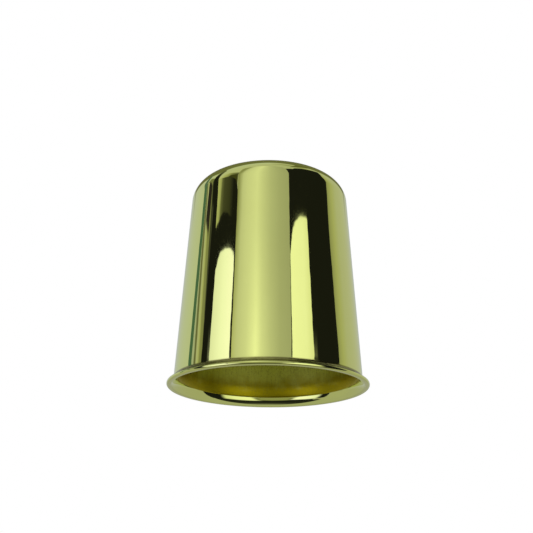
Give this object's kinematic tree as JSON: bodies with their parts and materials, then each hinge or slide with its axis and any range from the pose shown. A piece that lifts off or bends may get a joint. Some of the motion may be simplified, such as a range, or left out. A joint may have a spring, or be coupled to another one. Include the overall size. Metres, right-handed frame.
{
  "type": "guitar slide",
  "caption": "Short closed-ended guitar slide: a polished, slightly tapered metal shell with a rounded crown and a flared lip, lined by a satin finger sleeve.",
  "frame": {"origin": "centre of the ring that the lip rests on, in the plane of the lip's flat", "axes": "+Z is the axis of revolution and runs from the open mouth up to the closed crown; X and Y are equal because the part is round"},
  "size_m": [0.0256, 0.0256, 0.028],
  "materials": {
    "polished_brass": "mirror polished yellow-green brass under clear lacquer, with faint hairline scratches",
    "satin_brass": "unpolished as-drawn brass, satin, with fine lengthwise draw marks and a darker olive tone"
  },
  "bodies": {
    "root": {"slide_shell": "polished_brass", "finger_sleeve": "satin_brass"}
  },
  "joints": []
}
